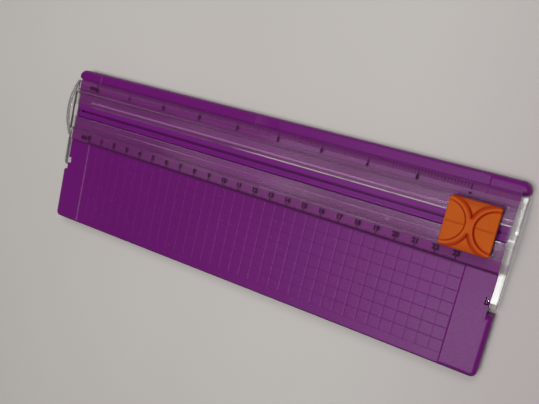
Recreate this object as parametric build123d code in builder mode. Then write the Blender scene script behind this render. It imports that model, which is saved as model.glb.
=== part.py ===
from build123d import *

import os
from math import radians, tan

# Small sliding-blade card cutter.
#
# Frame: origin at the centre of the base on the table, +X along the rulers to the right, +Y to the
# rear edge, +Z up. All sizes are in millimetres. The rail lies closed on the deck and the slider
# stands near the right end, with its blade up.

# ---------------------------------------------------------------- driving dimensions
# base moulding
base_length = 272.0
base_width = 95.0
base_height = 9.0
skirt_wall = 2.2
deck_wall = 1.8
edge_round = 2.4
front_corner_round = 3.0
rear_corner_round = 4.5
grid_pitch = 6.35
grid_columns = 37
field_depth = 0.4
border_slope = 60.0
rib_thickness = 1.2
rib_height = 2.4
cross_rib_count = 6
long_rib_spacing = 24.0

# rubber feet
foot_diameter = 8.0
foot_stand = 1.0
foot_sink = 1.0
foot_boss_wall = 1.5
foot_inset_x = 16.0
foot_inset_y = 10.0

# finger dish at the rear edge
dish_diameter = 15.2
dish_depth = 0.6
dish_from_rear = 4.3
dish_boss_wall = 1.5

# side recesses and rear lip
rear_lip = 6.0
recess_front_gap = 2.5
ear_round = 1.6

# cutting strip
strip_width = 8.1
strip_floor = 1.0
strip_wall = 1.8
strip_end_gap = 0.2
strip_edge_slope = 0.6
groove_width = 1.4
groove_clearance = 0.45
groove_end = 3.8

# clear guide rail
paper_gap = 0.3
track_from_rear = 25.0
track_width = 23.6
ruler_thickness = 1.5
front_ruler_width = 6.6
rear_ruler_end_gap = 0.3
track_rise = 1.8
track_wall = 1.2
slot_width = 7.5
rib_width = 3.5
rib_rise = 0.8
rib_start = 14.8
end_wall = 1.4
rail_edge_round = 0.35

# end arms and hinge studs
arm_thickness = 3.2
arm_arch_rise = 5.2
arm_rear_gap = 0.5
arm_corner_round = 1.5
arm_edge_round = 0.5
leg_reach = 14.1
leg_round = 4.0
stud_diameter = 4.0
stud_length = 2.2
stud_chamfer = 0.4
socket_wall = 2.2
snap_squeeze = 0.2

# slider cap, as wide as the track
slider_rest_gap = 5.4
cap_corner_round = 1.2
cap_top_round = 0.7
cap_wall = 1.4
cap_top_wall = 2.0
pad_depth = 0.9
ridge_width = 2.3
ridge_meet = 0.5
valley_depth = 1.1
foot_line_width = 0.6
foot_line_depth = 0.4
pad_line_width = 0.8
pad_line_depth = 0.3
press_travel = 1.8

# carriage under the cap
saddle_gap = 0.5
saddle_thickness = 1.1
neck_inset = 0.1
neck_end = 3.8
neck_wall = 1.1
shoulder_width = 1.4
keeper_thickness = 1.4
keeper_reach = 0.3
keeper_side_gap = 2.6
keeper_corner = 1.2

# keeper screws
screw_diameter = 1.6
screw_length = 3.2
screw_head_diameter = 2.6
screw_head_height = 0.7
screw_head_sink = 0.8
screw_inset = 1.8
screw_tip_gap = 0.3
screw_cross_length = 1.6
screw_cross_width = 0.5

# blade set
cap_socket_depth = 2.0
cap_socket_wall = 0.7
stem_length = 6.5
stem_width = 2.4
holder_wall = 1.2
blade_thickness = 0.4
blade_point_rise = 2.6
blade_show = 1.25
blade_top_cover = 0.4
blade_pin_diameter = 1.4
blade_pin_rise = 0.4

# bowed leaf springs between the carriage and the cap
leaf_thickness = 0.12
leaf_width = 3.0
leaf_span = 14.0
leaf_inset = 3.3
leaf_pocket_depth = 0.3
leaf_end_room = 0.8

# clearances
run_gap = 0.3
seat_gap = 0.1
hinge_gap = 0.05

# places nearer to each other than this count as the same when edges are picked
near = 0.01

# ---------------------------------------------------------------- levels and places
base_bottom_z = foot_stand
deck_z = base_bottom_z + base_height
field_z = deck_z - field_depth
deck_under_z = field_z - deck_wall
rib_bottom_z = deck_under_z - rib_height
field_length = grid_pitch * grid_columns
groove_depth = blade_show - run_gap + groove_clearance
strip_height = groove_depth + strip_floor

rail_z = deck_z + paper_gap
ruler_top_z = rail_z + ruler_thickness
track_top_z = ruler_top_z + track_rise
track_under_z = track_top_z - track_wall
rib_top_z = track_top_z + rib_rise

base_rear_y = base_width / 2
recess_rear_y = base_rear_y - rear_lip
recess_wall_x = base_length / 2 - arm_thickness - run_gap
track_y = base_rear_y - track_from_rear
rail_rear_y = recess_rear_y - rear_ruler_end_gap
rail_front_y = track_y - track_width / 2 - front_ruler_width
rail_end_x = recess_wall_x + run_gap

pivot_y = rail_front_y - leg_reach
pivot_z = deck_z - leg_round
recess_front_y = pivot_y - leg_round - recess_front_gap
socket_end_x = rail_end_x - stud_length - run_gap

saddle_z = rib_top_z + run_gap
saddle_top_z = saddle_z + saddle_thickness
cap_ceiling_z = saddle_top_z + run_gap + press_travel
cap_top_z = cap_ceiling_z + cap_top_wall
cap_bottom_z = track_top_z + run_gap + press_travel
keeper_top_z = track_under_z - run_gap
keeper_z = keeper_top_z - keeper_thickness

cap_size = track_width
cap_half = cap_size / 2
ridge_radius = cap_half + ridge_meet
pad_radius = ridge_radius - ridge_width
saddle_size = cap_size - 2 * cap_wall - 2 * saddle_gap
neck_length = saddle_size - 2 * neck_inset
neck_width = slot_width - 2 * run_gap
window_length = neck_length - 2 * neck_end
window_width = neck_width - 2 * neck_wall
keeper_length = neck_length + 2 * keeper_reach
keeper_width = track_width - 2 * track_wall - 2 * keeper_side_gap
screw_x = neck_length / 2 - screw_inset
rib_outer = slot_width / 2 + rib_width
leaf_offset = saddle_size / 2 - leaf_inset

holder_z = field_z + run_gap + press_travel
holder_top_z = saddle_z - seat_gap
holder_length = window_length - 2 * run_gap
holder_width = window_width - 2 * run_gap
blade_length = holder_length - 2 * holder_wall
blade_bottom_z = holder_z - blade_show
blade_top_z = holder_top_z - blade_top_cover
blade_pin_z = (holder_z + blade_top_z) / 2 + blade_pin_rise

slider_centre_x = rail_end_x - slider_rest_gap - cap_half
slider_centre = (slider_centre_x, track_y, 0)
slider_plane = Plane(origin=slider_centre)
slider_front_plane = Plane(origin=slider_centre, x_dir=(1, 0, 0), z_dir=(0, -1, 0))
slider_side_plane = Plane(origin=slider_centre, x_dir=(0, 1, 0), z_dir=(1, 0, 0))

os.makedirs("parts", exist_ok=True)


# ---------------------------------------------------------------- base
def cavity_outline():
    """Plan of the hollow under the deck, wider in front of the side recesses."""
    front_y = -base_width / 2 + skirt_wall
    rear_y = base_rear_y - skirt_wall
    step_y = recess_front_y - skirt_wall
    waist_x = recess_wall_x - skirt_wall
    front_x = base_length / 2 - skirt_wall
    with Locations((0, (front_y + rear_y) / 2)):
        Rectangle(2 * waist_x, rear_y - front_y)
    with Locations((0, (front_y + step_y) / 2)):
        Rectangle(2 * front_x, step_y - front_y)


def boss_outlines():
    """Plan of the foot bosses and hinge socket blocks, which stand in the hollow."""
    foot_span_x = base_length - 2 * foot_inset_x
    foot_span_y = base_width - 2 * foot_inset_y
    with GridLocations(foot_span_x, foot_span_y, 2, 2):
        Circle(foot_diameter / 2 + seat_gap + foot_boss_wall, mode=Mode.SUBTRACT)
    block_x = socket_end_x - socket_wall
    block_length = base_length / 2 - block_x
    with Locations((block_x + block_length / 2, pivot_y), (-block_x - block_length / 2, pivot_y)):
        Rectangle(block_length, stud_diameter + 2 * socket_wall, mode=Mode.SUBTRACT)


with BuildPart() as base:
    # outer block with its plan corners
    with BuildSketch(Plane.XY.offset(base_bottom_z)):
        Rectangle(base_length, base_width)
        with Locations((recess_wall_x + base_length / 2, (recess_front_y + recess_rear_y) / 2),
                       (-recess_wall_x - base_length / 2, (recess_front_y + recess_rear_y) / 2)):
            Rectangle(base_length, recess_rear_y - recess_front_y, mode=Mode.SUBTRACT)
    extrude(amount=base_height)
    upright = base.edges().filter_by(Axis.Z)
    front_corners = upright.group_by(Axis.Y)[0]
    rear_corners = upright.group_by(Axis.Y)[-1]
    ear_corners = [
        edge for edge in upright
        if abs(edge.center().Y - recess_rear_y) < near and abs(edge.center().X) > recess_wall_x + near
    ]
    fillet(front_corners, front_corner_round)
    fillet(rear_corners, rear_corner_round)
    fillet(ear_corners, ear_round)
    # rounded rim of the deck, but for the recess walls, which stay sharp
    rim = [
        edge for edge in base.faces().sort_by(Axis.Z)[-1].edges()
        if abs(abs(edge.center().X) - recess_wall_x) > near
    ]
    fillet(rim, edge_round)
    # hollow underside, with shallow ribs, foot bosses and socket blocks left standing
    with BuildSketch(Plane.XY.offset(base_bottom_z)):
        cavity_outline()
        boss_outlines()
    extrude(amount=rib_bottom_z - base_bottom_z, mode=Mode.SUBTRACT)
    with BuildSketch(Plane.XY.offset(rib_bottom_z)):
        cavity_outline()
        boss_outlines()
        with GridLocations(base_length / (cross_rib_count + 1), 0, cross_rib_count, 1):
            Rectangle(rib_thickness, base_width, mode=Mode.SUBTRACT)
        with Locations((0, -long_rib_spacing), (0, 0)):
            Rectangle(base_length, rib_thickness, mode=Mode.SUBTRACT)
        with Locations((0, track_y)):
            Rectangle(base_length, strip_width + 2 * seat_gap + 2 * strip_wall, mode=Mode.SUBTRACT)
        with Locations((0, base_rear_y - dish_from_rear)):
            Circle(dish_diameter / 2 + dish_boss_wall, mode=Mode.SUBTRACT)
    extrude(amount=rib_height, mode=Mode.SUBTRACT)
    # pockets for the rubber feet
    with BuildSketch(Plane.XY.offset(base_bottom_z)):
        with GridLocations(base_length - 2 * foot_inset_x, base_width - 2 * foot_inset_y, 2, 2):
            Circle(foot_diameter / 2 + seat_gap)
    extrude(amount=foot_sink, mode=Mode.SUBTRACT)
    # sunk field with sloping sides, which runs out over the front and rear rims
    slope_width = field_depth * tan(radians(border_slope))
    with BuildSketch(Plane.XZ.offset(-base_width)):
        with BuildLine():
            Polyline(
                (-field_length / 2, field_z),
                (field_length / 2, field_z),
                (field_length / 2 + slope_width, deck_z),
                (-field_length / 2 - slope_width, deck_z),
                close=True,
            )
        make_face()
    extrude(amount=2 * base_width, mode=Mode.SUBTRACT)
    # channel for the cutting strip
    with BuildSketch(Plane.XY.offset(field_z - strip_height)):
        with Locations((0, track_y)):
            Rectangle(base_length, strip_width + 2 * seat_gap)
    extrude(amount=strip_height + field_depth, mode=Mode.SUBTRACT)
    # finger dish that lets a nail under the rail's rear edge
    dish_sphere = ((dish_diameter / 2) ** 2 + dish_depth ** 2) / (2 * dish_depth)
    with Locations((0, base_rear_y - dish_from_rear, field_z - dish_depth + dish_sphere)):
        Sphere(dish_sphere, mode=Mode.SUBTRACT)
    # hinge sockets with a narrower snap mouth, open at the deck
    socket_radius = stud_diameter / 2 + hinge_gap
    for socket_start_x in (socket_end_x, -recess_wall_x):
        with BuildSketch(Plane.YZ.offset(socket_start_x)):
            with Locations((pivot_y, pivot_z)):
                Circle(socket_radius)
            with Locations((pivot_y, (pivot_z + deck_z) / 2)):
                Rectangle(2 * (socket_radius - snap_squeeze), deck_z - pivot_z)
        extrude(amount=recess_wall_x - socket_end_x, mode=Mode.SUBTRACT)
base.part.label = "base"
export_step(base.part, "parts/base.step")


# ---------------------------------------------------------------- cutting strip
with BuildPart() as cutting_strip:
    with BuildSketch(Plane.XY.offset(field_z - strip_height)):
        with Locations((0, track_y)):
            Rectangle(2 * (recess_wall_x - strip_end_gap), strip_width)
    extrude(amount=strip_height)
    chamfer(cutting_strip.edges().filter_by(Axis.X).group_by(Axis.Z)[-1], strip_edge_slope)
    with BuildSketch(Plane.XY.offset(field_z)):
        with Locations((0, track_y)):
            SlotOverall(2 * (recess_wall_x - groove_end), groove_width)
    extrude(amount=-groove_depth, mode=Mode.SUBTRACT)
cutting_strip.part.label = "cutting_strip"
export_step(cutting_strip.part, "parts/cutting_strip.step")


# ---------------------------------------------------------------- rubber feet
for side_x, side_name in ((-1, "left"), (1, "right")):
    for side_y, row_name in ((-1, "front"), (1, "rear")):
        foot_x = side_x * (base_length / 2 - foot_inset_x)
        foot_y = side_y * (base_width / 2 - foot_inset_y)
        with BuildPart() as foot:
            with BuildSketch(Plane(origin=(foot_x, foot_y, 0))):
                Circle(foot_diameter / 2)
            extrude(amount=foot_stand + foot_sink)
        foot.part.label = f"foot_{row_name}_{side_name}"
        export_step(foot.part, f"parts/foot_{row_name}_{side_name}.step")


# ---------------------------------------------------------------- clear guide rail
with BuildPart() as guide_rail:
    # section of the front half, then of the rear half: flat ruler and raised track with a hollow
    for side, ruler_y in ((-1, rail_front_y), (1, rail_rear_y)):
        track_edge_y = track_y + side * track_width / 2
        inner_wall_y = track_edge_y - side * track_wall
        slot_y = track_y + side * slot_width / 2
        with BuildSketch(Plane.YZ.offset(-rail_end_x)):
            with BuildLine():
                Polyline(
                    (ruler_y, rail_z),
                    (inner_wall_y, rail_z),
                    (inner_wall_y, track_under_z),
                    (slot_y, track_under_z),
                    (slot_y, track_top_z),
                    (track_edge_y, track_top_z),
                    (track_edge_y, ruler_top_z),
                    (ruler_y, ruler_top_z),
                    close=True,
                )
            make_face()
        extrude(amount=2 * rail_end_x)
    # raised ribs along the slot, cut short at the left end
    with BuildSketch(Plane.YZ.offset(-rail_end_x + rib_start)):
        with Locations((track_y - (slot_width + rib_width) / 2, track_top_z + rib_rise / 2),
                       (track_y + (slot_width + rib_width) / 2, track_top_z + rib_rise / 2)):
            Rectangle(rib_width, rib_rise)
    extrude(amount=2 * rail_end_x - rib_start)
    long_edges = guide_rail.edges().filter_by(Axis.X).filter_by(
        lambda edge: edge.center().Z > track_top_z - near and edge.length > rail_end_x
    )
    soft_edges = [
        edge for edge in long_edges
        if abs(abs(edge.center().Y - track_y) - rib_outer) > near
        or edge.center().Z > track_top_z + near
    ]
    fillet(soft_edges, rail_edge_round)
    # walls that close both ends of the slot and of the hollow
    with BuildSketch(Plane.XY.offset(rail_z)):
        with Locations((rail_end_x - end_wall / 2, track_y), (-rail_end_x + end_wall / 2, track_y)):
            Rectangle(end_wall, track_width)
    extrude(amount=track_top_z - rail_z)
    # end arms: an arch over the rail, then a straight leg down to the hinge
    arm_rear_y = rail_rear_y - arm_rear_gap
    arm_front_y = rail_front_y + arm_rear_gap
    leg_bottom_z = pivot_z - leg_round
    arm_starts = (rail_end_x, -rail_end_x - arm_thickness)
    for arm_x in arm_starts:
        with BuildSketch(Plane.YZ.offset(arm_x)) as arm_outline:
            with BuildLine():
                Line((pivot_y, leg_bottom_z), (arm_rear_y, leg_bottom_z))
                Line((arm_rear_y, leg_bottom_z), (arm_rear_y, deck_z))
                ThreePointArc(
                    (arm_rear_y, deck_z),
                    ((arm_rear_y + arm_front_y) / 2, rail_z + arm_arch_rise),
                    (arm_front_y, deck_z),
                )
                Line((arm_front_y, deck_z), (pivot_y, deck_z))
                ThreePointArc((pivot_y, deck_z), (pivot_y - leg_round, pivot_z), (pivot_y, leg_bottom_z))
            make_face()
            rear_foot = arm_outline.vertices().group_by(Axis.X)[-1].sort_by(Axis.Y)[0]
            fillet(rear_foot, arm_corner_round)
        extrude(amount=arm_thickness)
    # soft edge round each arm's outer face
    outer_faces = guide_rail.faces().filter_by(Axis.X).filter_by(
        lambda face: abs(face.center().X) > rail_end_x + arm_thickness - near
    )
    fillet(outer_faces.edges(), arm_edge_round)
    # hinge studs on the arms' inner faces
    stud_plane = Plane(origin=(rail_end_x, pivot_y, pivot_z), z_dir=(-1, 0, 0))
    for stud_base in (stud_plane, Plane(origin=(-rail_end_x, pivot_y, pivot_z), z_dir=(1, 0, 0))):
        with BuildSketch(stud_base):
            Circle(stud_diameter / 2)
        extrude(amount=stud_length)
    stud_ends = guide_rail.edges().filter_by(GeomType.CIRCLE).filter_by(
        lambda edge: abs(abs(edge.center().X) - rail_end_x + stud_length) < near
    )
    chamfer(stud_ends, stud_chamfer)
guide_rail.part.label = "guide_rail"
export_step(guide_rail.part, "parts/guide_rail.step")


# ---------------------------------------------------------------- slider cap
# plans of the relief on the cap's top, with the cap's centre at zero: a round pad at the right and a
# valley at the rear, each with a narrow line along the foot of the ridges
with BuildSketch() as pad_plan:
    with Locations((cap_half, 0)):
        Circle(pad_radius)

with BuildSketch() as pad_line_plan:
    with Locations((cap_half, 0)):
        Circle(pad_radius)
        Circle(pad_radius - foot_line_width, mode=Mode.SUBTRACT)

with BuildSketch() as valley_plan:
    with Locations((0, cap_half / 2)):
        Rectangle(cap_size, cap_half)
    with Locations((-cap_half, 0), (cap_half, 0)):
        Circle(ridge_radius, mode=Mode.SUBTRACT)

with BuildSketch() as valley_line_plan:
    with Locations((-cap_half, 0), (cap_half, 0)):
        Circle(ridge_radius + foot_line_width)
    add(valley_plan.sketch, mode=Mode.INTERSECT)


def relief_cutter(plan, side_plane, deep_end, depth):
    """What is cut from the cap's top over a plan, deepest at one end and fading to the cap's side."""
    with BuildPart() as cutter:
        with BuildSketch(slider_plane.offset(cap_top_z - depth)):
            add(plan)
        extrude(amount=2 * depth)
        with BuildSketch(side_plane):
            with BuildLine():
                Polyline(
                    (deep_end, cap_top_z - depth),
                    (cap_half, cap_top_z),
                    (cap_half, cap_top_z + depth),
                    (deep_end, cap_top_z + depth),
                    close=True,
                )
            make_face()
        extrude(amount=cap_size, both=True, mode=Mode.INTERSECT)
    return cutter.part


pad_deep_end = cap_half - pad_radius
valley_deep_end = (ridge_radius ** 2 - cap_half ** 2) ** 0.5
pad_cutters = [
    relief_cutter(pad_plan.sketch, slider_front_plane, pad_deep_end, pad_depth),
    relief_cutter(pad_line_plan.sketch, slider_front_plane, pad_deep_end, pad_depth + foot_line_depth),
]
valley_cutters = [
    relief_cutter(valley_plan.sketch, slider_side_plane, valley_deep_end, valley_depth),
    relief_cutter(valley_line_plan.sketch, slider_side_plane, valley_deep_end, valley_depth + foot_line_depth),
]

with BuildPart() as slider_cap:
    with BuildSketch(slider_plane.offset(cap_bottom_z)):
        RectangleRounded(cap_size, cap_size, cap_corner_round)
    extrude(amount=cap_top_z - cap_bottom_z)
    fillet(slider_cap.faces().sort_by(Axis.Z)[-1].edges(), cap_top_round)
    for cutter_part in pad_cutters:
        add(cutter_part, mode=Mode.SUBTRACT)
        mirror(cutter_part, about=slider_side_plane, mode=Mode.SUBTRACT)
    for cutter_part in valley_cutters:
        add(cutter_part, mode=Mode.SUBTRACT)
        mirror(cutter_part, about=slider_front_plane, mode=Mode.SUBTRACT)
    # fine line across the middle of both pads
    for side in (-1, 1):
        with BuildSketch(slider_front_plane):
            with BuildLine():
                Polyline(
                    (side * (cap_half - pad_radius), cap_top_z - pad_depth - pad_line_depth),
                    (side * (cap_half - cap_top_round), cap_top_z - pad_line_depth),
                    (side * (cap_half - cap_top_round), cap_top_z),
                    (side * (cap_half - pad_radius), cap_top_z),
                    close=True,
                )
            make_face()
        extrude(amount=pad_line_width / 2, both=True, mode=Mode.SUBTRACT)
    # hollow with notches where the skirt crosses the track's ribs
    with BuildSketch(slider_plane.offset(cap_bottom_z)):
        Rectangle(cap_size - 2 * cap_wall, cap_size - 2 * cap_wall)
    extrude(amount=cap_ceiling_z - cap_bottom_z, mode=Mode.SUBTRACT)
    with BuildSketch(slider_plane.offset(cap_bottom_z)):
        Rectangle(cap_size, 2 * (rib_outer + run_gap))
    extrude(amount=rib_rise, mode=Mode.SUBTRACT)
    # socket for the blade holder's stem
    socket_length = stem_length + 2 * seat_gap
    socket_width = stem_width + 2 * seat_gap
    with BuildSketch(slider_plane.offset(cap_ceiling_z)):
        Rectangle(socket_length + 2 * cap_socket_wall, socket_width + 2 * cap_socket_wall)
        Rectangle(socket_length, socket_width, mode=Mode.SUBTRACT)
    extrude(amount=-cap_socket_depth)
slider_cap.part.label = "slider_cap"
export_step(slider_cap.part, "parts/slider_cap.step")


# ---------------------------------------------------------------- slider carriage
with BuildPart() as slider_carriage:
    # saddle plate over the ribs, with a runner outside each rib
    with BuildSketch(slider_plane.offset(saddle_z)):
        Rectangle(saddle_size, saddle_size)
    extrude(amount=saddle_thickness)
    runner_width = saddle_size / 2 - rib_outer - run_gap
    with BuildSketch(slider_plane.offset(track_top_z + run_gap)):
        with Locations((0, (runner_width - saddle_size) / 2), (0, (saddle_size - runner_width) / 2)):
            Rectangle(saddle_size, runner_width)
    extrude(amount=saddle_z - track_top_z - run_gap)
    # neck through the slot
    with BuildSketch(slider_plane.offset(keeper_top_z)):
        Rectangle(neck_length, neck_width)
    extrude(amount=saddle_z - keeper_top_z)
    # window for the blade holder: its ends step in at the saddle, which stops the holder's rise
    with BuildSketch(slider_plane.offset(keeper_top_z)):
        Rectangle(window_length, window_width)
    extrude(amount=saddle_z - keeper_top_z, mode=Mode.SUBTRACT)
    with BuildSketch(slider_plane.offset(saddle_z)):
        Rectangle(window_length - 2 * shoulder_width, window_width)
    extrude(amount=saddle_thickness, mode=Mode.SUBTRACT)
    # pockets in which the leaf springs spread as they flatten
    with BuildSketch(slider_plane.offset(saddle_top_z)):
        with Locations((0, -leaf_offset), (0, leaf_offset)):
            Rectangle(leaf_span + 2 * leaf_end_room, leaf_width + 2 * seat_gap)
    extrude(amount=-leaf_pocket_depth, mode=Mode.SUBTRACT)
    # pilot holes for the keeper screws
    with BuildSketch(slider_plane.offset(keeper_top_z)):
        with Locations((-screw_x, 0), (screw_x, 0)):
            Circle(screw_diameter / 2 + hinge_gap)
    extrude(amount=screw_length - keeper_thickness + screw_head_sink + screw_tip_gap, mode=Mode.SUBTRACT)
slider_carriage.part.label = "slider_carriage"
export_step(slider_carriage.part, "parts/slider_carriage.step")


# ---------------------------------------------------------------- keeper plate
with BuildPart() as keeper_plate:
    with BuildSketch(slider_plane.offset(keeper_z)):
        Rectangle(keeper_length, keeper_width)
        Rectangle(window_length, window_width, mode=Mode.SUBTRACT)
        with Locations((-screw_x, 0), (screw_x, 0)):
            Circle(screw_diameter / 2 + seat_gap, mode=Mode.SUBTRACT)
    extrude(amount=keeper_thickness)
    with BuildSketch(slider_plane.offset(keeper_z)):
        with Locations((-screw_x, 0), (screw_x, 0)):
            Circle(screw_head_diameter / 2 + seat_gap)
    extrude(amount=screw_head_sink, mode=Mode.SUBTRACT)
    chamfer(keeper_plate.edges().filter_by(Axis.Z).filter_by(
        lambda edge: abs(edge.center().X - slider_centre_x) > keeper_length / 2 - near
    ), keeper_corner)
keeper_plate.part.label = "keeper_plate"
export_step(keeper_plate.part, "parts/keeper_plate.step")


# ---------------------------------------------------------------- keeper screws
screw_seat_z = keeper_z + screw_head_sink
for side, side_name in ((-1, "left"), (1, "right")):
    screw_plane = Plane(origin=(slider_centre_x + side * screw_x, track_y, screw_seat_z))
    with BuildPart() as keeper_screw:
        with BuildSketch(screw_plane.offset(-screw_head_height)):
            Circle(screw_head_diameter / 2)
        extrude(amount=screw_head_height)
        with BuildSketch(screw_plane):
            Circle(screw_diameter / 2)
        extrude(amount=screw_length)
        with BuildSketch(screw_plane.offset(-screw_head_height)):
            Rectangle(screw_cross_length, screw_cross_width)
            Rectangle(screw_cross_width, screw_cross_length)
        extrude(amount=screw_head_height / 2, mode=Mode.SUBTRACT)
    keeper_screw.part.label = f"keeper_screw_{side_name}"
    export_step(keeper_screw.part, f"parts/keeper_screw_{side_name}.step")


# ---------------------------------------------------------------- blade holder, cover and blade
blade_pocket_front = blade_thickness / 2 + holder_width / 2
with BuildPart() as blade_holder:
    with BuildSketch(slider_plane.offset(holder_z)):
        Rectangle(holder_length, holder_width)
    extrude(amount=holder_top_z - holder_z)
    with BuildSketch(slider_plane.offset(holder_top_z)):
        Rectangle(stem_length, stem_width)
    extrude(amount=cap_ceiling_z - holder_top_z)
    # pocket for the blade and its cover, open to the front and below
    with BuildSketch(slider_front_plane.offset(-blade_thickness / 2)):
        with Locations((0, (holder_z + blade_top_z) / 2)):
            Rectangle(blade_length, blade_top_z - holder_z)
    extrude(amount=blade_pocket_front, mode=Mode.SUBTRACT)
    # moulded pin through the blade and the cover
    with BuildSketch(slider_front_plane.offset(-blade_thickness / 2)):
        with Locations((0, blade_pin_z)):
            Circle(blade_pin_diameter / 2)
    extrude(amount=blade_pocket_front)
blade_holder.part.label = "blade_holder"
export_step(blade_holder.part, "parts/blade_holder.step")

with BuildPart() as blade_cover:
    with BuildSketch(slider_front_plane.offset(blade_thickness / 2)):
        with Locations((0, (holder_z + blade_top_z) / 2)):
            Rectangle(blade_length - 2 * seat_gap, blade_top_z - holder_z - 2 * seat_gap)
        with Locations((0, blade_pin_z)):
            Circle(blade_pin_diameter / 2 + seat_gap, mode=Mode.SUBTRACT)
    extrude(amount=(holder_width - blade_thickness) / 2)
blade_cover.part.label = "blade_cover"
export_step(blade_cover.part, "parts/blade_cover.step")

with BuildPart() as blade:
    blade_half = blade_length / 2 - seat_gap
    with BuildSketch(slider_front_plane):
        with BuildLine():
            Polyline(
                (-blade_half, blade_top_z - seat_gap),
                (blade_half, blade_top_z - seat_gap),
                (blade_half, blade_bottom_z + blade_point_rise),
                (0, blade_bottom_z),
                (-blade_half, blade_bottom_z + blade_point_rise),
                close=True,
            )
        make_face()
        with Locations((0, blade_pin_z)):
            Circle(blade_pin_diameter / 2 + seat_gap, mode=Mode.SUBTRACT)
    extrude(amount=blade_thickness / 2, both=True)
blade.part.label = "blade"
export_step(blade.part, "parts/blade.step")


# ---------------------------------------------------------------- press springs
# each is a bowed leaf whose ends rest in the saddle's pocket and whose crown bears on the cap
leaf_foot_z = saddle_top_z - leaf_pocket_depth
leaf_crown_z = cap_ceiling_z - hinge_gap
for side, row_name in ((-1, "front"), (1, "rear")):
    with BuildPart() as press_spring:
        with BuildSketch(slider_front_plane.offset(-side * leaf_offset)):
            with BuildLine():
                inner = ThreePointArc(
                    (-leaf_span / 2, leaf_foot_z),
                    (0, leaf_crown_z - leaf_thickness),
                    (leaf_span / 2, leaf_foot_z),
                )
                outer = ThreePointArc(
                    (-leaf_span / 2, leaf_foot_z + leaf_thickness),
                    (0, leaf_crown_z),
                    (leaf_span / 2, leaf_foot_z + leaf_thickness),
                )
                Line(inner @ 0, outer @ 0)
                Line(inner @ 1, outer @ 1)
            make_face()
        extrude(amount=leaf_width / 2, both=True)
    press_spring.part.label = f"press_spring_{row_name}"
    export_step(press_spring.part, f"parts/press_spring_{row_name}.step")
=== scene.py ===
import math

import bpy
from mathutils import Matrix, Vector


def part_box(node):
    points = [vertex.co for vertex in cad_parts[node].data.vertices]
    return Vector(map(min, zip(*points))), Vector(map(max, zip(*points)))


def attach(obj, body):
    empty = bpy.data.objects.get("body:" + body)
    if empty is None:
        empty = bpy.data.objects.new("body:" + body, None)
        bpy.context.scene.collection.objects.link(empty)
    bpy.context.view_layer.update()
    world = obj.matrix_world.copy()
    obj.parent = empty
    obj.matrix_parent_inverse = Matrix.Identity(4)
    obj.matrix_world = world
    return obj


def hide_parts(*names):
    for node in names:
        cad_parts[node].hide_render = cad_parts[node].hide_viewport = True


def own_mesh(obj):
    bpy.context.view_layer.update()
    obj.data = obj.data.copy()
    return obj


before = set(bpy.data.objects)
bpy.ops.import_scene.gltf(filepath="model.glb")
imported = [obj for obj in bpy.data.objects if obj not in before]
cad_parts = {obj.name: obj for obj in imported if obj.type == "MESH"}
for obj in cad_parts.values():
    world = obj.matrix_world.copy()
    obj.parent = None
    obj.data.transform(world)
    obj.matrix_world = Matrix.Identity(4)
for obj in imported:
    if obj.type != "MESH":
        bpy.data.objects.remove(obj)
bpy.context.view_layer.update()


# ---------------------------------------------------------------- view
# One camera stands over the right half of the cutter and looks down and to the left, so that the
# rulers run away from it. Its lens is a plain 42 mm one on a 36 mm wide sensor.
mm = 0.001
camera_place = Vector((151.4, 60.5, 308.9)) * mm
camera_turn = (math.radians(-3.464), math.radians(26.542), math.radians(14.537))
bpy.ops.object.camera_add(location=camera_place, rotation=camera_turn)
view_camera = bpy.context.object
view_camera.data.sensor_width = 36.0
view_camera.data.lens = 41.6
view_camera.data.clip_start = 10 * mm
bpy.context.scene.camera = view_camera


# ---------------------------------------------------------------- deck
# The base is one flat injection moulding in purple styrene. Its upper face has a fine spark-eroded
# grain that hides finger marks and shines pale where a lamp is mirrored in it.
class Signal:
    """One socket of a finish; sums written on it add Math nodes."""

    def __init__(self, finish, socket):
        self.finish = finish
        self.socket = socket

    def math(self, operation, first, second, third=0.0):
        return self.finish.node(
            "ShaderNodeMath", {"operation": operation}, {0: first, 1: second, 2: third}
        )

    def __add__(self, other):
        return self.math("ADD", self, other)

    __radd__ = __add__

    def __sub__(self, other):
        return self.math("SUBTRACT", self, other)

    def __rsub__(self, other):
        return self.math("SUBTRACT", other, self)

    def __mul__(self, other):
        return self.math("MULTIPLY", self, other)

    __rmul__ = __mul__

    def __gt__(self, other):
        return self.math("GREATER_THAN", self, other)

    def __lt__(self, other):
        return self.math("LESS_THAN", self, other)

    def __abs__(self):
        return self.math("ABSOLUTE", self, 0.0)

    def at_least(self, low):
        return self.math("MAXIMUM", self, low)

    def distance(self, other):
        """How far off a point lies whose two offsets are this value and another."""
        return self.math("SQRT", self * self + other * other, 0.0)

    def past_nearest(self, pitch):
        """How far the value lies past, or with a minus before, the nearest multiple of a pitch."""
        return self.math("WRAP", self, pitch / 2, -pitch / 2)

    def between(self, low, high):
        """One between two bounds, nought outside them."""
        return (self > low) * (self < high)

    def ramp(self, low, high, low_value=0.0, high_value=1.0):
        """The value spread from one range to another, with soft ends."""
        return self.finish.node(
            "ShaderNodeMapRange",
            {"interpolation_type": "SMOOTHSTEP"},
            {0: self, 1: low, 2: high, 3: low_value, 4: high_value},
        )

    def near(self, centre, outer, inner):
        """One close to a centre, fading to nought from the inner distance to the outer one."""
        return abs(self - centre).ramp(outer, inner)


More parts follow.
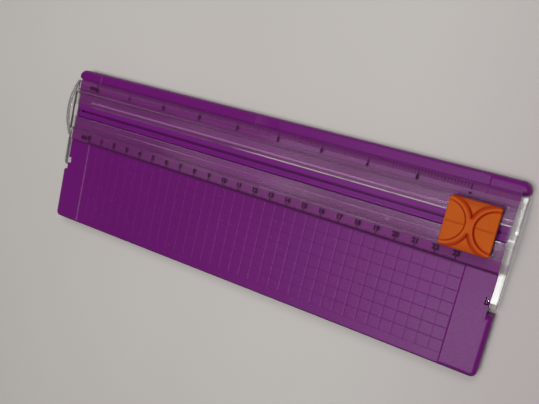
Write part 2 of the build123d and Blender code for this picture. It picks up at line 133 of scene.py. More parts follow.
class Finish:
    """A material, or the world, that is built up node by node round its first shader."""

    def __init__(self, name, constants, world=None):
        self.material = world or bpy.data.materials.new(name)
        self.material.use_nodes = True
        self.tree = self.material.node_tree
        self.shader = self.tree.nodes["Background" if world else "Principled BSDF"]
        for socket_name, value in constants.items():
            self.shader.inputs[socket_name].default_value = value

    def node(self, kind, settings, inputs, output=0):
        """Adds one node: its settings first, then a value or a link for each socket named."""
        made = self.tree.nodes.new(kind)
        for name, value in settings.items():
            setattr(made, name, value)
        for key, value in inputs.items():
            if isinstance(value, Signal):
                self.tree.links.new(value.socket, made.inputs[key])
            else:
                made.inputs[key].default_value = value
        return Signal(self, made.outputs[output])

    def place(self, stretch=(1.0, 1.0, 1.0)):
        """Points of the piece in its own space, stretched."""
        point = self.node("ShaderNodeTexCoord", {}, {}, "Object")
        return self.node("ShaderNodeMapping", {}, {"Vector": point, "Scale": stretch})

    def reach(self, axis):
        """How far a point lies along one axis of the piece's own space."""
        point = self.node("ShaderNodeTexCoord", {}, {}, "Object")
        return self.node("ShaderNodeSeparateXYZ", {}, {0: point}, axis)

    def noise(self, where, size, detail=2.0, rough=0.5):
        """Noise whose grains are about as wide as the size given, in metres."""
        return self.node(
            "ShaderNodeTexNoise",
            {},
            {"Vector": where, "Scale": 1 / size, "Detail": detail, "Roughness": rough},
        )

    def blend(self, share, first, second):
        """A colour between two others."""
        return self.node(
            "ShaderNodeMix",
            {"data_type": "RGBA"},
            {"Factor": share, 6: first, 7: second},
            2,
        )

    def bump(self, height, depth, normal=None):
        """Surface relief whose height of one is as deep as given, in metres."""
        inputs = {"Height": height, "Distance": depth, "Strength": 1.0}
        if normal:
            inputs["Normal"] = normal
        return self.node("ShaderNodeBump", {}, inputs)

    def feed(self, **links):
        """Links signals to the shader's sockets, named with _ for a space."""
        for name, signal in links.items():
            socket = self.shader.inputs[name.replace("_", " ")]
            self.tree.links.new(signal.socket, socket)
        return self.material

    def cover(self, share, shader):
        """Lets a second shader take over by the share given, in what the finish puts out."""
        output = next(node for node in self.tree.nodes if node.type.startswith("OUTPUT"))
        first = Signal(self, output.inputs["Surface"].links[0].from_socket)
        mixed = self.node("ShaderNodeMixShader", {}, {0: share, 1: first, 2: shader})
        self.tree.links.new(mixed.socket, output.inputs["Surface"])
        return self.material


def wear_finish(node_name, material):
    """Gives a moulded or metal piece of the frame its finish."""
    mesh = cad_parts[node_name].data
    mesh.materials.clear()
    mesh.materials.append(material)


base_low, base_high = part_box("base")
front_ruler_y = 4.1 * mm
rear_ruler_y = 41.2 * mm
grain_size = 0.60 * mm
grain_depth = 0.085 * mm
mean_roughness = 0.40
deep_purple = (0.113, 0.0038, 0.119, 1.0)
bright_purple = (0.133, 0.0055, 0.141, 1.0)
edge_shade_purple = (0.088, 0.0028, 0.092, 1.0)
ruler_shadow_purple = (0.062, 0.0012, 0.064, 1.0)
dust_grey = (0.36, 0.30, 0.38, 1.0)
# painted highlight and shade beside the lines of the squares: how far off a line's middle, how wide
# and how strong
groove_highlight_pale = (0.30, 0.12, 0.31, 1.0)
groove_shade_dark = (0.070, 0.0010, 0.074, 1.0)
highlight_offset = -0.40 * mm
groove_shade_offset = 0.65 * mm
trace_outer, trace_inner = 0.45 * mm, 0.15 * mm
highlight_strength = 0.07
groove_shade_strength = 0.17


def deck_material(name, squares=None):
    """Grained purple styrene, cloudy and dusty, duller under the rail; shade painted at the front
    edge and by the rulers.

    Squares, a corner and a pitch, add painted highlight and shade beside their lines' grooves.
    """
    finish = Finish(name, {"IOR": 1.5, "Specular IOR Level": 0.28})
    where = finish.place()
    clouds = finish.noise(where, 60 * mm, 3.0)
    grain = finish.noise(where, grain_size, 3.0, 0.6)
    coarse_grain = finish.noise(where, 2 * grain_size, 2.0)
    dust = finish.noise(where, 0.9 * mm, 1.0).ramp(0.72, 0.80) * 0.2
    along = finish.reach("X")
    across = finish.reach("Y")
    body = finish.blend(clouds.ramp(0.3, 0.7) * 0.5 + grain * 0.5, deep_purple, bright_purple)

    # the painted highlight beside a line grows to the right, the painted shade is strongest in the
    # middle
    line_shade = 0.0
    if squares:
        corner_x, corner_y, pitch = squares
        past_column = (along - corner_x).past_nearest(pitch)
        past_row = (across - corner_y).past_nearest(pitch)
        lit_side = past_column.near(highlight_offset, trace_outer, trace_inner)
        lit_side = lit_side * along.ramp(-110 * mm, 90 * mm, 0.15, 1.0)
        shaded_side = past_column.near(groove_shade_offset, trace_outer, trace_inner)
        shaded_side = shaded_side * along.ramp(-130 * mm, 30 * mm)
        shaded_side = shaded_side * along.ramp(120 * mm, 60 * mm, 0.1, 1.0)
        line_shade = shaded_side + past_row.near(0.0, trace_outer, trace_inner)
        body = finish.blend(lit_side * highlight_strength, body, groove_highlight_pale)
        body = finish.blend(line_shade * groove_shade_strength, body, groove_shade_dark)

    # painted shadow along both rulers' edges, strongest in front and to the right
    covered = across.between(front_ruler_y, rear_ruler_y)
    front_edge_shade = across.ramp(base_low.y + 1.5 * mm, base_low.y + 0.8 * mm)
    ruler_shadow_front = across.near(front_ruler_y - 0.55 * mm, 0.8 * mm, 0.3 * mm)
    ruler_shadow_rear = across.near(rear_ruler_y + 0.7 * mm, 0.7 * mm, 0.2 * mm)
    ruler_shadow = ruler_shadow_front * along.ramp(-110 * mm, 80 * mm, 0.6, 0.95) + ruler_shadow_rear * 0.5
    # the rounded front edge is painted darker, as shade
    body = finish.blend(front_edge_shade, body, edge_shade_purple)
    body = finish.blend(ruler_shadow, body, ruler_shadow_purple)

    grain_roughness = grain * 0.16 + clouds * 0.06 + (mean_roughness - 0.11)
    dullness = (covered + front_edge_shade) * 0.45 + line_shade * 0.12 + ruler_shadow * 0.25
    return finish.feed(
        Base_Color=finish.blend(dust, body, dust_grey),
        Roughness=grain_roughness + dullness,
        Normal=finish.bump(grain * 0.5 + coarse_grain * 0.5, grain_depth),
    )


wear_finish("base", deck_material("grained_purple_plastic"))


# ---------------------------------------------------------------- squares on the deck
# A sheet of quarter-inch squares is cut into the sunk field in front of the rail. Each line is a
# shallow groove with sloping sides, so one side of it catches the lamp and the other stays dark.
strip_low, strip_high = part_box("cutting_strip")
square_pitch = 6.35 * mm
columns = 37
rows = 7
field_floor = strip_high.z
grid_front = -41.7 * mm
grid_depth = 0.038 * mm
groove_half_width = 0.10 * mm
groove_slope = 0.20 * mm
row_squeeze = 0.5
sheet_lift = 0.015 * mm

# the sheet is cut too long and then squeezed, which makes the lines between the rows the finer ones
bpy.ops.object.select_all(action="DESELECT")
bpy.ops.mesh.primitive_grid_add(
    x_subdivisions=columns,
    y_subdivisions=rows,
    size=1.0,
    location=(0, 0, 0),
)
deck_squares = bpy.context.object
deck_squares.name = "deck_squares"
deck_squares.scale = (columns * square_pitch, rows * square_pitch / row_squeeze, 1.0)
bpy.ops.object.transform_apply(location=True, rotation=False, scale=True)
bpy.ops.object.mode_set(mode="EDIT")
bpy.ops.mesh.select_all(action="SELECT")
bpy.ops.mesh.inset(thickness=groove_half_width, depth=0.0, use_individual=True)
bpy.ops.mesh.inset(thickness=groove_slope, depth=grid_depth, use_individual=True)
bpy.ops.object.mode_set(mode="OBJECT")
deck_squares.scale = (1.0, row_squeeze, 1.0)
deck_squares.location = (0, grid_front + rows * square_pitch / 2, field_floor + sheet_lift)
bpy.ops.object.transform_apply(location=True, rotation=False, scale=True)
grid_corner_x = -columns * square_pitch / 2
squared_plastic = deck_material(
    "squared_purple_plastic", squares=(grid_corner_x, grid_front, square_pitch)
)
deck_squares.data.materials.append(squared_plastic)
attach(deck_squares, "base")


# ---------------------------------------------------------------- cutting strip
# A plain strip of softer purple plastic is pressed into a channel of the deck under the slot. The
# blade has scored its middle with fine lines that run along it.
slot_centre_y = (strip_low.y + strip_high.y) / 2
strip_deep = (0.108, 0.0030, 0.122, 1.0)
strip_bright = (0.146, 0.0052, 0.165, 1.0)
strip_rear_lit = (0.170, 0.0075, 0.195, 1.0)
strip_groove_shade = (0.062, 0.0006, 0.062, 1.0)

strip_finish = Finish("scored_strip_plastic", {"IOR": 1.5, "Specular IOR Level": 0.36})
scores = strip_finish.noise(strip_finish.place((0.03, 1.0, 1.0)), 0.25 * mm, 3.0, 0.65)
blotches = strip_finish.noise(strip_finish.place(), 30 * mm, 2.0)
strip_across = strip_finish.reach("Y") - slot_centre_y
lit_rear_half = strip_across.ramp(0.3 * mm, 1.5 * mm)
groove_line_shade = strip_across.near(0.0, 0.8 * mm, 0.25 * mm)
strip_body = strip_finish.blend(scores.ramp(0.35, 0.75), strip_deep, strip_bright)
# the rear half is painted lighter, as if lit, and the line along the groove is painted dark as
# shade
strip_body = strip_finish.blend(lit_rear_half * 0.6, strip_body, strip_rear_lit)
strip_body = strip_finish.blend(groove_line_shade * 0.85, strip_body, strip_groove_shade)
wear_finish(
    "cutting_strip",
    strip_finish.feed(
        Base_Color=strip_body,
        Roughness=blotches * 0.12 + scores * 0.2 + 0.36,
        Normal=strip_finish.bump(scores, 0.015 * mm),
    ),
)


# ---------------------------------------------------------------- feet
# Four soft black rubber discs are pressed into pockets at the corners of the underside. They keep
# the deck from sliding on the table and are a little scuffed.
rubber_black = (0.018, 0.018, 0.019, 1.0)
rubber_scuffed = (0.06, 0.058, 0.056, 1.0)

foot_finish = Finish("foot_rubber", {"IOR": 1.5, "Specular IOR Level": 0.35})
foot_grain = foot_finish.noise(foot_finish.place(), 0.5 * mm, 3.0)
foot_scuff = foot_finish.noise(foot_finish.place(), 4 * mm, 2.0).ramp(0.45, 0.75)
foot_rubber = foot_finish.feed(
    Base_Color=foot_finish.blend(foot_scuff, rubber_black, rubber_scuffed),
    Roughness=foot_grain * 0.2 + 0.65,
    Normal=foot_finish.bump(foot_grain, 0.03 * mm),
)
for foot_node in ("foot_front_left", "foot_front_right", "foot_rear_left", "foot_rear_right"):
    wear_finish(foot_node, foot_rubber)


# ---------------------------------------------------------------- clear guide rail
# The hinged rail is one clear styrene moulding: two flat rulers, the raised track with its slot,
# and an arm at each end that clips into the base. It is polished, with faint slider marks.
cap_low, cap_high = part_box("slider_cap")
rail_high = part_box("guide_rail")[1]
slot_half = 3.75 * mm
rib_width = 3.5 * mm
ruler_top_z = base_high.z + 1.8 * mm
track_top_z = ruler_top_z + 1.8 * mm
rib_top_z = track_top_z + 0.8 * mm
skin = 0.4 * mm
front_rib = (slot_centre_y - slot_half - rib_width, slot_centre_y - slot_half)
rear_rib = (slot_centre_y + slot_half, slot_centre_y + slot_half + rib_width)
# strips of the rail that are dulled: from y, to y, how rough
dulled_strips = (
    (cap_low.y + 0.4 * mm, front_rib[0], 0.10),
    (front_rib[0], front_rib[1], 0.15),
    (rear_rib[0], rear_rib[1], 0.16),
    (rear_rib[1], cap_high.y - 0.4 * mm, 0.20),
    (cap_high.y, rear_ruler_y - 3.2 * mm, 0.10),
)
# lines painted white, partly as wear where the slider rubs and partly as highlights on the edges:
# y, z, half width, whiteness, start x, share left near the right end
rubbed_and_highlight_lines = (
    (cap_low.y - 0.9 * mm, ruler_top_z, 1.2 * mm, 0.060, -75 * mm, 0.7),
    (cap_low.y, track_top_z, 0.4 * mm, 0.10, -90 * mm, 1.0),
    (front_rib[0] + 0.1 * mm, rib_top_z, 0.38 * mm, 0.24, -100 * mm, 0.8),
    (front_rib[1], rib_top_z, 0.30 * mm, 0.06, -200 * mm, 0.3),
    (rear_rib[0] + 0.7 * mm, rib_top_z, 0.42 * mm, 0.40, -25 * mm, 0.9),
    (cap_high.y, track_top_z, 0.35 * mm, 0.10, -200 * mm, 0.6),
)
# one line of the rib is painted with a bright purple sheen
purple_sheen_y = rear_rib[1] - 0.5 * mm
purple_half_width = 0.65 * mm
# lines painted dark as shade where the moulding's walls stand: y, half width
wall_shade_lines = (
    (cap_high.y - 0.8 * mm, 0.45 * mm),
    (cap_high.y + 1.2 * mm, 0.60 * mm),
)
# pale round marks of the moulding's ejector pins: x, y
pin_marks = ((77 * mm, 14.2 * mm), (102.6 * mm, 14.2 * mm))
# painted glints on the right arm's edges: x, y, radius
arm_glints = (
    (rail_high.x - 0.6 * mm, slot_centre_y + 2.4 * mm, 1.1 * mm),
    (strip_high.x - 0.6 * mm, cap_low.y - 0.2 * mm, 0.6 * mm),
)
arm_corner_y = 18.7 * mm
leg_start_y = -10.3 * mm
bevel_start_y = rear_ruler_y - 3.0 * mm
clear_tint = (0.985, 0.985, 0.94, 1.0)
arm_tint = (0.96, 0.96, 0.96, 1.0)
wall_shade_tint = (0.74, 0.62, 0.70, 1.0)
scuff_and_highlight_grey = (0.80, 0.76, 0.68, 1.0)
arm_scuff_and_highlight_white = (0.92, 0.90, 0.90, 1.0)
sheen_purple = (0.52, 0.26, 0.50, 1.0)

rail_finish = Finish("clear_rail_plastic", {"IOR": 1.49, "Transmission Weight": 1.0})
streaks = rail_finish.noise(rail_finish.place((0.02, 1.0, 1.0)), 0.35 * mm, 3.0, 0.6)
ripple = rail_finish.noise(rail_finish.place(), 9 * mm, 1.0)
patches = rail_finish.noise(rail_finish.place((0.3, 1.0, 1.0)), 6 * mm, 2.0)
along = rail_finish.reach("X")
across = rail_finish.reach("Y")
above = rail_finish.reach("Z")
between_arms = abs(along) < strip_high.x + 0.2 * mm
past_arms = 1 - between_arms

# how rough: the rubbed strips, both arms, and a dull band across the right arm's corner
dulled = streaks.ramp(0.55, 0.8) * 0.03 + 0.012
for strip_front, strip_rear, dullness in dulled_strips:
    dulled = dulled + across.between(strip_front, strip_rear) * between_arms * dullness
arm_corner = across.near(arm_corner_y, 2.0 * mm, 1.2 * mm) * (along > strip_high.x)
dulled = dulled + past_arms * 0.13 + arm_corner * 0.35

# how much is painted white: the lines, part wear and part painted highlight, which fade at either
# end, and the pin marks
rubbed_and_highlit = 0.0
for line_y, line_z, half_width, whiteness, start_x, right_share in rubbed_and_highlight_lines:
    on_line = across.near(line_y, half_width, 0.5 * half_width) * (above > line_z - skin)
    rightward = along.ramp(start_x, start_x + 35 * mm, 0.12, 1.0)
    fading = along.ramp(55 * mm, 95 * mm, 1.0, right_share)
    rubbed_and_highlit = rubbed_and_highlit + on_line * rightward * fading * whiteness
for mark_x, mark_y in pin_marks:
    pin_mark = (along - mark_x).distance(across - mark_y).ramp(1.5 * mm, 0.5 * mm)
    rubbed_and_highlit = rubbed_and_highlit + pin_mark * 0.05
rubbed_and_highlit = rubbed_and_highlit * patches.ramp(0.25, 0.6, 0.5, 1.0) + streaks.ramp(0.45, 0.75) * 0.012

# how much is painted with a purple sheen: one bright line, and four bands with their shares
on_purple_sheen = across.near(purple_sheen_y, purple_half_width, 0.4 * purple_half_width) * between_arms
purple_growth = along.ramp(-200 * mm, 70 * mm, 0.20, 0.38)
purple_fading = along.ramp(55 * mm, 95 * mm, 1.0, 0.6)
purple_sheen_share = on_purple_sheen * (above > rib_top_z - skin) * purple_growth * purple_fading
mid_length = along.ramp(-70 * mm, -15 * mm) * along.ramp(50 * mm, 5 * mm)
front_figures = across.between(front_ruler_y + 0.6 * mm, front_ruler_y + 5.4 * mm)
rear_divisions = across.between(rear_ruler_y - 2.8 * mm, rear_ruler_y - 0.5 * mm)
sheen_bands = (
    (front_figures * along.ramp(-95 * mm, 20 * mm), 0.075),
    (rear_divisions * along.ramp(60 * mm, 90 * mm, 1.0, 0.4), 0.065),
    (across.between(cap_low.y, front_rib[1]) * mid_length, 0.055),
    (across.between(rear_rib[1], rear_ruler_y - 4.0 * mm) * mid_length, 0.040),
)
on_sheen = sum(band for band, _ in sheen_bands)
sheen_share = sum(band * strength for band, strength in sheen_bands) * (above > ruler_top_z - skin)

# the right arm is scuffed and painted with highlights, most of all on its straight leg and outer
# edge; the left one is nearly clear
leg = across.between(leg_start_y, front_ruler_y - 0.8 * mm)
leg_white = along.ramp(rail_high.x - 0.6 * mm, rail_high.x - 1.6 * mm, 0.30, 0.85)
arch = across.ramp(front_ruler_y + 2.0 * mm, front_ruler_y + 4.0 * mm)
outer_edge_highlight = along.near(rail_high.x - 1.0 * mm, 0.7 * mm, 0.2 * mm)
right_arm = leg * leg_white + arch * (outer_edge_highlight * 0.16 + patches * 0.10 + 0.04)
for glint_x, glint_y, radius in arm_glints:
    glint = (along - glint_x).distance(across - glint_y).ramp(radius, 0.6 * radius)
    right_arm = right_arm + glint * 0.8
arm_share = (along > 0.0) * right_arm + (along < 0.0) * (patches * 0.10)
scuff_and_painted_light_share = between_arms * (rubbed_and_highlit + purple_sheen_share + sheen_share) + past_arms * arm_share + 0.003

# the polished surface, with dark lines painted as shade at the walls and a bevel along the rear
# ruler's edge
wall_shade = sum(
    across.near(wall_y, half_width, 0.3 * half_width) for wall_y, half_width in wall_shade_lines
)
bevel_drop = (across - bevel_start_y).at_least(0.0) * (1 / mm)
polish = rail_finish.bump(ripple * 0.8 + streaks * 0.2, 0.0015 * mm)
body_tint = rail_finish.blend(between_arms, arm_tint, clear_tint)
rail_finish.feed(
    Base_Color=rail_finish.blend(wall_shade, body_tint, wall_shade_tint),
    Roughness=dulled,
    Normal=rail_finish.bump(bevel_drop, -0.17 * mm, polish),
)
# a white and purple cover carries the scuffs and the painted highlights and sheen
scuff_and_highlight_colour = rail_finish.blend(between_arms, arm_scuff_and_highlight_white, scuff_and_highlight_grey)
scuffed_and_painted_light = rail_finish.node(
    "ShaderNodeBsdfPrincipled",
    {},
    {
        "Base Color": rail_finish.blend(on_purple_sheen + on_sheen, scuff_and_highlight_colour, sheen_purple),
        "Roughness": 0.9,
        "Specular IOR Level": 0.0,
    },
)
rail_finish.cover(scuff_and_painted_light_share, scuffed_and_painted_light)

# light falls through the flat faces; the upright walls turn it aside and so draw thin dark lines
facing = rail_finish.node("ShaderNodeTexCoord", {}, {}, "Normal")
upright = abs(rail_finish.node("ShaderNodeSeparateXYZ", {}, {0: facing}, "Z")) < 0.5
shadow_ray = rail_finish.node("ShaderNodeLightPath", {}, {}, "Is Shadow Ray")
bounced_ray = rail_finish.node("ShaderNodeLightPath", {}, {}, "Is Diffuse Ray")
bright = rail_finish.node("ShaderNodeBsdfTransparent", {}, {"Color": (0.985, 0.985, 0.97, 1.0)})
shade = rail_finish.node("ShaderNodeBsdfTransparent", {}, {"Color": (0.30, 0.27, 0.30, 1.0)})
clear = rail_finish.node("ShaderNodeMixShader", {}, {0: upright, 1: bright, 2: shade})
wear_finish("guide_rail", rail_finish.cover(shadow_ray + bounced_ray, clear))


# ---------------------------------------------------------------- scales on the rulers
# Both scales are printed in a dark ink on top of the clear rulers, centimetres along the front
# edge and inches along the rear edge, whose figures are read from behind.
print_thickness = 0.008 * mm
print_z = ruler_top_z + 2 * print_thickness
figure_height_share = 0.72
stroke_gain = 0.20 * mm
zero_x = grid_corner_x
inch = 25.4 * mm
print_inset = 0.1 * mm
edge_line_width = 0.25 * mm
edge_line_inset = 0.02 * mm
ink_dark = (0.036, 0.0065, 0.032, 1.0)
ink_thin = (0.052, 0.0095, 0.046, 1.0)
# kinds of division line: every how many divisions, how long, how wide
centimetre_kinds = (
    (10, 2.0 * mm, 0.45 * mm),
    (5, 1.4 * mm, 0.30 * mm),
    (1, 0.9 * mm, 0.22 * mm),
)
inch_kinds = (
    (16, 2.8 * mm, 0.45 * mm),
    (8, 2.3 * mm, 0.42 * mm),
    (4, 2.0 * mm, 0.36 * mm),
    (1, 1.7 * mm, 0.34 * mm),
)


def figure(words, centre_x, centre_y, height, turn=0.0):
    """One printed number or unit mark, as a thin mesh."""
    bpy.ops.object.select_all(action="DESELECT")
    bpy.ops.object.text_add(location=(0, 0, 0))
    made = bpy.context.object
    made.data.body = words
    made.data.align_x = "CENTER"
    made.data.align_y = "CENTER"
    made.data.size = height / figure_height_share
    made.data.offset = stroke_gain
    made.data.extrude = print_thickness
    made.data.resolution_u = 3
    bpy.ops.object.convert(target="MESH")
    made = bpy.context.object
    centre = Matrix.Translation((centre_x, centre_y, print_z))
    made.data.transform(centre @ Matrix.Rotation(turn, 4, "Z"))
    return made


def tick(x, start_y, length, width):
    """One printed line, drawn from the ruler's edge inward."""
    bpy.ops.object.select_all(action="DESELECT")
    bpy.ops.mesh.primitive_cube_add(size=1.0)
    made = bpy.context.object
    made.data.transform(
        Matrix.Translation((x, start_y + length / 2, print_z))
        @ Matrix.Diagonal((width, abs(length), 2 * print_thickness, 1.0))
    )
    return made


def division_lines(count, start_x, pitch, edge_y, inward, kinds):
    """A scale's division lines, each of the first kind whose step fits its number."""
    lines = []
    for number in range(count + 1):
        length, width = next(kind[1:] for kind in kinds if number % kind[0] == 0)
        lines.append(tick(start_x + number * pitch, edge_y, inward * length, width))
    return lines


def join_prints(name, prints, material):
    """Joins printed marks into one layer that moves with the rail."""
    bpy.ops.object.select_all(action="DESELECT")
    for mark in prints:
        mark.select_set(True)
    bpy.context.view_layer.objects.active = prints[0]
    bpy.ops.object.join()
    layer = bpy.context.object
    layer.name = name
    layer.data.name = name
    layer.data.materials.clear()
    layer.data.materials.append(material)
    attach(layer, "rail")


ink_finish = Finish("printed_ink", {"IOR": 1.5, "Specular IOR Level": 0.08})
ink_density = ink_finish.noise(ink_finish.place(), 0.4 * mm, 3.0)
scale_ink = ink_finish.feed(
    Base_Color=ink_finish.blend(ink_density, ink_dark, ink_thin),
    Roughness=ink_density * 0.2 + 0.7,
)

cm_count = 23
cm_figure_y = 7.5 * mm
cm_figure_height = 2.5 * mm
cm_marks = division_lines(
    10 * cm_count, zero_x, mm, front_ruler_y + print_inset, 1, centimetre_kinds
)
for whole in range(cm_count + 1):
    cm_marks.append(figure(str(whole), zero_x + 10 * whole * mm, cm_figure_y, cm_figure_height))
cm_marks.append(figure("cm", zero_x - 4.2 * mm, cm_figure_y - 0.3 * mm, cm_figure_height))
edge_length = rail_high.x - zero_x - 3.2 * mm
edge_middle_x = zero_x + edge_length / 2
edge_line_y = front_ruler_y + edge_line_inset
cm_marks.append(tick(edge_middle_x, edge_line_y, edge_line_width, edge_length))
join_prints("centimetre_scale", cm_marks, scale_ink)

inch_count = 9
inch_figure_y = 37.3 * mm
inch_figure_height = 2.1 * mm
inch_zero_x = zero_x - 0.35 * mm
inch_marks = division_lines(
    16 * inch_count, inch_zero_x, inch / 16, rear_ruler_y - print_inset, -1, inch_kinds
)
for whole in range(inch_count + 1):
    figure_x = inch_zero_x + whole * inch
    inch_marks.append(figure(str(whole), figure_x, inch_figure_y, inch_figure_height, math.pi))
inch_unit_x, inch_unit_y = inch_zero_x - 3.4 * mm, inch_figure_y + 0.4 * mm
inch_marks.append(figure("inch", inch_unit_x, inch_unit_y, inch_figure_height, math.pi))
join_prints("inch_scale", inch_marks, scale_ink)


# ---------------------------------------------------------------- slider's inner pieces
# Under the cap a dark carriage rides on the track. A keeper plate below the track holds it down
# with two small screws, and both are moulded in the same dark nylon as the blade's holder.
nylon_dark = (0.022, 0.018, 0.026, 1.0)
nylon_rubbed = (0.055, 0.05, 0.06, 1.0)
zinc_grey = (0.62, 0.62, 0.60, 1.0)
ground_grey = (0.70, 0.71, 0.72, 1.0)

inner_finish = Finish("dark_nylon", {"IOR": 1.5})
inner_grain = inner_finish.noise(inner_finish.place(), 0.4 * mm, 3.0)
inner_rub = inner_finish.noise(inner_finish.place((0.05, 1.0, 1.0)), 0.5 * mm, 2.0)
dark_nylon = inner_finish.feed(
    Base_Color=inner_finish.blend(inner_rub.ramp(0.55, 0.8), nylon_dark, nylon_rubbed),
    Roughness=inner_grain * 0.15 + 0.38,
    Normal=inner_finish.bump(inner_grain, 0.01 * mm),
)
for inner_node in ("slider_carriage", "keeper_plate", "blade_holder", "blade_cover"):
    wear_finish(inner_node, dark_nylon)


def steel_material(name, colour, line_size, stretch, roughness):
    """Bright steel with rolling or grinding lines along one axis."""
    finish = Finish(name, {"Metallic": 1.0})
    lines = finish.noise(finish.place(stretch), line_size, 3.0, 0.6)
    stain = finish.noise(finish.place(), 2 * mm, 2.0)
    darker = tuple(0.72 * part for part in colour[:3]) + (1.0,)
    return finish.feed(
        Base_Color=finish.blend(lines * 0.6 + stain * 0.4, darker, colour),
        Roughness=lines * 0.2 + roughness,
        Normal=finish.bump(lines, 0.004 * mm),
    )


screw_zinc = steel_material("zinc_plated_steel", zinc_grey, 0.3 * mm, (1.0, 1.0, 1.0), 0.22)
for screw_node in ("keeper_screw_left", "keeper_screw_right"):
    wear_finish(screw_node, screw_zinc)
blade_steel = steel_material(
    "ground_blade_steel", ground_grey, 0.12 * mm, (1.0, 1.0, 0.05), 0.15
)
wear_finish("blade", blade_steel)


# ---------------------------------------------------------------- press springs
# Two bowed leaves of thin spring steel lie across the saddle and push the cap up. They flatten as
# the cap is pressed.
rolled_grey = (0.66, 0.66, 0.65, 1.0)
merge_distance = 0.001 * mm
spring_steel = steel_material(
    "rolled_spring_steel", rolled_grey, 0.15 * mm, (0.05, 1.0, 1.0), 0.2
)
for spring_node in ("press_spring_front", "press_spring_rear"):
    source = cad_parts[spring_node]
    leaf = bpy.data.objects.new(spring_node + "_leaf", source.data.copy())
    bpy.context.collection.objects.link(leaf)
    bpy.ops.object.select_all(action="DESELECT")
    leaf.select_set(True)
    bpy.context.view_layer.objects.active = leaf
    bpy.ops.object.mode_set(mode="EDIT")
    bpy.ops.mesh.select_all(action="SELECT")
    bpy.ops.mesh.remove_doubles(threshold=merge_distance)
    bpy.ops.object.mode_set(mode="OBJECT")
    leaf.data.materials.clear()
    leaf.data.materials.append(spring_steel)
    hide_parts(spring_node)
    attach(leaf, "carriage")
    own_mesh(leaf)


# ---------------------------------------------------------------- slider cap
# The cap is a square push button in orange styrene, moulded with two round finger pads and the
# crossed ridges between them. Its valleys, the feet of its steps and its creases are painted darker
# red, as shade.
cap_middle = (cap_low + cap_high) / 2
cap_half = (cap_high.x - cap_low.x) / 2
relief_depth = 1.7 * mm
orange_deep = (0.415, 0.073, 0.0065, 1.0)
orange_bright = (0.455, 0.087, 0.0095, 1.0)
valley_shade_orange = (0.34, 0.049, 0.004, 1.0)
step_shade_red = (0.315, 0.019, 0.0015, 1.0)
crease_shade_red = (0.24, 0.012, 0.001, 1.0)
# distances from the middle of a pad's circle, in millimetres
left_pad_foot, right_pad_foot = 9.6, 9.65
ridge_edge = 11.0
valley_foot = 12.1

cap_finish = Finish("orange_cap_plastic", {"IOR": 1.5, "Specular IOR Level": 0.05})
cap_where = cap_finish.place()
cap_clouds = cap_finish.noise(cap_where, 9 * mm, 2.0)
cap_grain = cap_finish.noise(cap_where, 0.35 * mm, 3.0)
# the creases are painted dark red as shade, where little of the room is open to them
cap_open = cap_finish.node(
    "ShaderNodeAmbientOcclusion", {"samples": 8, "only_local": True}, {"Distance": 1.2 * mm}, "AO"
)
cap_side = cap_finish.reach("X") - cap_middle.x
cap_rise = abs(cap_finish.reach("Y") - cap_middle.y)
on_top = cap_finish.reach("Z") > cap_high.z - relief_depth
left_distance = (cap_side + cap_half).distance(cap_rise) * (1 / mm)
right_distance = (cap_side - cap_half).distance(cap_rise) * (1 / mm)
pad_foot_shade = left_distance.near(left_pad_foot, 0.6, 0.1) * 0.75
pad_foot_shade = pad_foot_shade + right_distance.near(right_pad_foot, 0.9, 0.2)
past_ridges = (left_distance > ridge_edge) * (right_distance > ridge_edge)
in_valley = past_ridges * cap_rise.ramp(2.6 * mm, 4.2 * mm)
valley_foot_shade = left_distance.near(valley_foot, 1.3, 0.3) + right_distance.near(valley_foot, 1.3, 0.3)
step_shade = (pad_foot_shade + valley_foot_shade * in_valley) * on_top
valley_shade = in_valley * cap_rise.ramp(7.5 * mm, 11 * mm)
cap_body_tone = cap_clouds.ramp(0.3, 0.7) * 0.6 + cap_grain * 0.4
cap_body = cap_finish.blend(cap_body_tone, orange_deep, orange_bright)
cap_body = cap_finish.blend(valley_shade * 0.7, cap_body, valley_shade_orange)
cap_body = cap_finish.blend(step_shade * 0.85, cap_body, step_shade_red)
wear_finish(
    "slider_cap",
    cap_finish.feed(
        Base_Color=cap_finish.blend(cap_open.ramp(0.35, 0.95), crease_shade_red, cap_body),
        Roughness=cap_grain * 0.12 + cap_clouds * 0.08 + 0.38,
        Normal=cap_finish.bump(cap_grain, 0.012 * mm),
    ),
)


# ---------------------------------------------------------------- table and backdrop
# A plain pale table top, painted a little darker to the right as shade. Far from the cutter it
# passes into a pale backdrop, which is the same grey all over.
table_size = 3000 * mm
table_deep = (0.480, 0.452, 0.430, 1.0)
table_light = (0.530, 0.504, 0.482, 1.0)
table_shade_right = (0.415, 0.372, 0.378, 1.0)
backdrop_grey = (0.50, 0.475, 0.455, 1.0)


def seen_rays(finish):
    """Two signals: one for rays straight from the camera, one for mirrored or refracted rays."""
    straight = finish.node("ShaderNodeLightPath", {}, {}, "Is Camera Ray")
    mirrored = finish.node("ShaderNodeLightPath", {}, {}, "Is Glossy Ray")
    through = finish.node("ShaderNodeLightPath", {}, {}, "Is Transmission Ray")
    return straight, mirrored + through


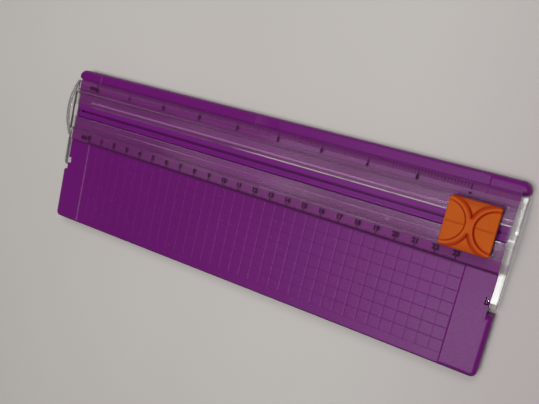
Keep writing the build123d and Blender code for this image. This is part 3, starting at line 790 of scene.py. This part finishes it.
bpy.ops.object.select_all(action="DESELECT")
bpy.ops.mesh.primitive_plane_add(size=table_size, location=(0, 0, 0))
table = bpy.context.object
table.name = "table_top"
table_finish = Finish("pale_table", {"IOR": 1.45, "Specular IOR Level": 0.2})
table_clouds = table_finish.noise(table_finish.place(), 200 * mm, 2.0)
table_x, table_y = table_finish.reach("X"), table_finish.reach("Y")
table_body = table_finish.blend(table_clouds, table_deep, table_light)
rightward_shade = table_x.ramp(60 * mm, 190 * mm) * 0.8
table.data.materials.append(
    table_finish.feed(
        Base_Color=table_finish.blend(rightward_shade, table_body, table_shade_right),
        Roughness=table_clouds * 0.1 + 0.6,
    )
)
far_off = table_x.distance(table_y).ramp(270 * mm, 800 * mm)
backdrop = table_finish.node("ShaderNodeEmission", {}, {"Color": backdrop_grey, "Strength": 1.0})
straight_ray, other_ray = seen_rays(table_finish)
table_finish.cover(far_off * (straight_ray + other_ray), backdrop)


# ---------------------------------------------------------------- lamps and room
# Three soft lamps, overhead and behind, light the cutter and aren't mirrored in it. A small lamp
# and a wide ceiling panel are only mirrored: they give the sheen on the deck's right end and on the
# rail. The room round them is dim, with the pale backdrop low down.
def soft_lamp(name, place, size, energy, mirrored, lighting=True):
    """A soft lamp, its place and size in millimetres, that lights the cutter or shines on it."""
    bpy.ops.object.light_add(type="AREA", location=Vector(place) * mm)
    lamp = bpy.context.object
    lamp.name = name
    lamp.data.shape = "RECTANGLE"
    lamp.data.size, lamp.data.size_y = size[0] * mm, size[1] * mm
    lamp.data.energy = energy
    lamp.rotation_euler = (-lamp.location).to_track_quat("-Z", "Y").to_euler()
    lamp.visible_glossy = mirrored
    lamp.visible_transmission = mirrored
    lamp.visible_diffuse = lighting
    return lamp


soft_lamp("key_lamp", (40, -80, 950), (150, 150), 1.75, mirrored=False)
soft_lamp("sheen_lamp", (60, -300, 950), (120, 120), 2.7, mirrored=True, lighting=False)
soft_lamp("ceiling_lamp", (60, 90, 950), (600, 600), 5.2, mirrored=False)
soft_lamp("rear_lamp", (150, 600, 900), (400, 400), 2.9, mirrored=False)
ceiling_panel = soft_lamp(
    "ceiling_panel", (-103, -20, 950), (706, 260), 0.34, mirrored=True, lighting=False
)
ceiling_panel.rotation_euler = (0, 0, 0)

world = bpy.data.worlds.new("dim_room")
bpy.context.scene.world = world
world.use_nodes = True
room = Finish("dim_room", {"Color": (1.0, 0.98, 0.96, 1.0), "Strength": 0.10}, world)
direction = room.node("ShaderNodeTexCoord", {}, {}, "Generated")
low_down = abs(room.node("ShaderNodeSeparateXYZ", {}, {0: direction}, "Z")).ramp(0.45, 0.15)
pale_wall = room.node("ShaderNodeBackground", {}, {"Color": backdrop_grey, "Strength": 1.0})
straight_ray, other_ray = seen_rays(room)
room.cover(straight_ray + other_ray * low_down, pale_wall)

bpy.context.scene.view_settings.view_transform = "Standard"
